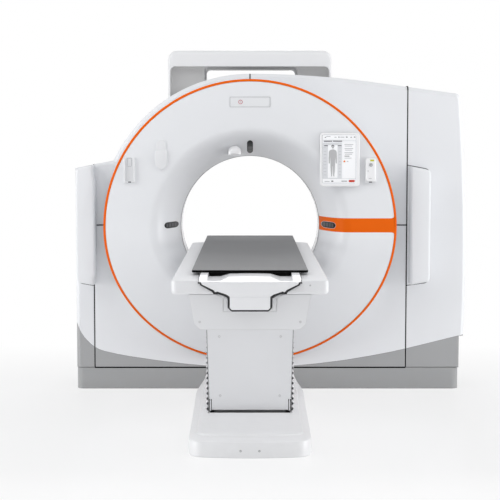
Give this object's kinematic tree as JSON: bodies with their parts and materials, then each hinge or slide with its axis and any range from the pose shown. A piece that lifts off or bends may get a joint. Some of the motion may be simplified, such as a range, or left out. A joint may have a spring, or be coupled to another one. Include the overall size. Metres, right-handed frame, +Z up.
{
  "type": "ct scanner",
  "caption": "Ring gantry with a wide bore, a laser bridge and side laser towers, and a patient table on a telescopic column with a flat tabletop.",
  "frame": {"origin": "on the floor, straight below the isocentre, where the bore axis meets the scan plane", "axes": "+X to the right as seen from the table, +Y from the table into the bore along its axis, +Z up"},
  "size_m": [2.3968, 3.02, 2.08],
  "materials": {
    "cover_white": "satin moulded cover",
    "bridge_white": "satin painted housing",
    "plinth_grey": "satin moulded cover",
    "liner_white": "smooth translucent liner",
    "trim_orange": "inlaid strip",
    "dark_window": "dark infrared window",
    "display_glass": "flush display window",
    "dome_white": "camera dome",
    "dock_grey": "moulded dock",
    "tablet_white": "tablet case",
    "screen_glass": "lit screen",
    "button_grey": "soft pad",
    "frame_grey": "powder coat",
    "rail_grey": "powder coat",
    "bearing_steel": "ground",
    "motor_copper": "potted coils",
    "magnet_steel": "plated",
    "drum_aluminium": "cast and machined",
    "slip_plastic": "ring carrier",
    "tube_aluminium": "machined",
    "collimator_grey": "powder coat",
    "detector_aluminium": "anodised",
    "unit_grey": "powder coat",
    "cooler_aluminium": "bare",
    "carriage_black": "anodised",
    "foot_white": "satin moulded cover",
    "column_white": "satin panel",
    "stage_steel": "ground tube",
    "bellows_grey": "pleated skin",
    "body_white": "painted sheet",
    "wing_white": "painted extrusion",
    "cradle_white": "fibre laminate",
    "gasket_black": "edge rubber",
    "plate_grey": "fibre laminate",
    "spacer_black": "moulded"
  },
  "bodies": {
    "gantry": {"gantry_base_frame": "frame_grey", "stator_frame": "frame_grey", "cover_frame": "rail_grey", "bearing_outer_race": "bearing_steel", "ring_motor_stator": "motor_copper", "front_cover": "cover_white", "front_funnel": "cover_white", "trim_ring": "trim_orange", "surround_upper_left": "cover_white", "surround_upper_right": "cover_white", "surround_lower": "cover_white", "left_side_cover": "cover_white", "right_side_cover": "cover_white", "top_cover": "cover_white", "rear_cover": "cover_white", "plinth_cover": "plinth_grey", "bore_liner": "liner_white", "laser_window_top": "dark_window", "laser_window_left": "dark_window", "laser_window_right": "dark_window", "display_window": "display_glass", "camera_dome": "dome_white", "tablet_dock_left": "dock_grey", "tablet_dock_right": "dock_grey", "remote_holder_left": "dock_grey", "remote_holder_right": "dock_grey", "tablet": "tablet_white", "tablet_screen": "screen_glass", "remote_control": "tablet_white", "top_bridge": "bridge_white", "left_tower": "bridge_white", "right_tower": "bridge_white", "table_foot_cover": "foot_white", "table_base_frame": "frame_grey", "column_bellows": "bellows_grey"},
    "rotor": {"rotor_drum": "drum_aluminium", "bearing_inner_race": "bearing_steel", "ring_motor_magnets": "magnet_steel", "slip_ring": "slip_plastic", "x_ray_tube": "tube_aluminium", "collimator": "collimator_grey", "detector_arc": "detector_aluminium", "high_voltage_unit": "unit_grey", "inverter_unit": "unit_grey", "cooler": "cooler_aluminium"},
    "table_frame": {"column_upper_stage": "stage_steel", "table_body": "body_white", "table_wing_left": "wing_white", "table_wing_right": "wing_white"},
    "column_stage": {"column_mid_frame": "stage_steel", "column_front_panel": "column_white"},
    "tabletop": {"tabletop_cradle": "cradle_white", "cradle_end_cap": "cradle_white", "cradle_gasket": "gasket_black", "overlay_plate": "plate_grey", "overlay_spacer": "spacer_black"},
    "top_laser": {"top_laser_carriage": "carriage_black"},
    "left_laser": {"left_laser_carriage": "carriage_black"},
    "right_laser": {"right_laser_carriage": "carriage_black"},
    "remote_pad": {"remote_button": "button_grey"}
  },
  "joints": [
    {"name": "rotor_spin", "type": "hinge", "parent": "gantry", "child": "rotor", "pos_m": [0, 0, 1.011], "axis": [0, 1, 0], "continuous": true},
    {"name": "table_lift", "type": "slide", "parent": "gantry", "child": "table_frame", "axis": [0, 0, 1], "range_m": [-0.17, 0.06], "deforming": ["column_bellows"]},
    {"name": "column_slide", "type": "slide", "parent": "gantry", "child": "column_stage", "axis": [0, 0, 1], "range_m": [-0.085, 0.03]},
    {"name": "tabletop_slide", "type": "slide", "parent": "table_frame", "child": "tabletop", "axis": [0, 1, 0], "range_m": [0, 1.8]},
    {"name": "top_laser_travel", "type": "slide", "parent": "gantry", "child": "top_laser", "axis": [1, 0, 0], "range_m": [-0.22, 0.22]},
    {"name": "left_laser_travel", "type": "slide", "parent": "gantry", "child": "left_laser", "axis": [0, 0, 1], "range_m": [-0.25, 0.25]},
    {"name": "right_laser_travel", "type": "slide", "parent": "gantry", "child": "right_laser", "axis": [0, 0, 1], "range_m": [-0.25, 0.25]},
    {"name": "remote_button_press", "type": "slide", "parent": "gantry", "child": "remote_pad", "axis": [0, 1, 0], "range_m": [0, 0.001], "stiffness_N_per_m": 1500}
  ],
  "couplings": [
    {"joint": "column_slide", "follows": "table_lift", "ratio": 0.5}
  ]
}
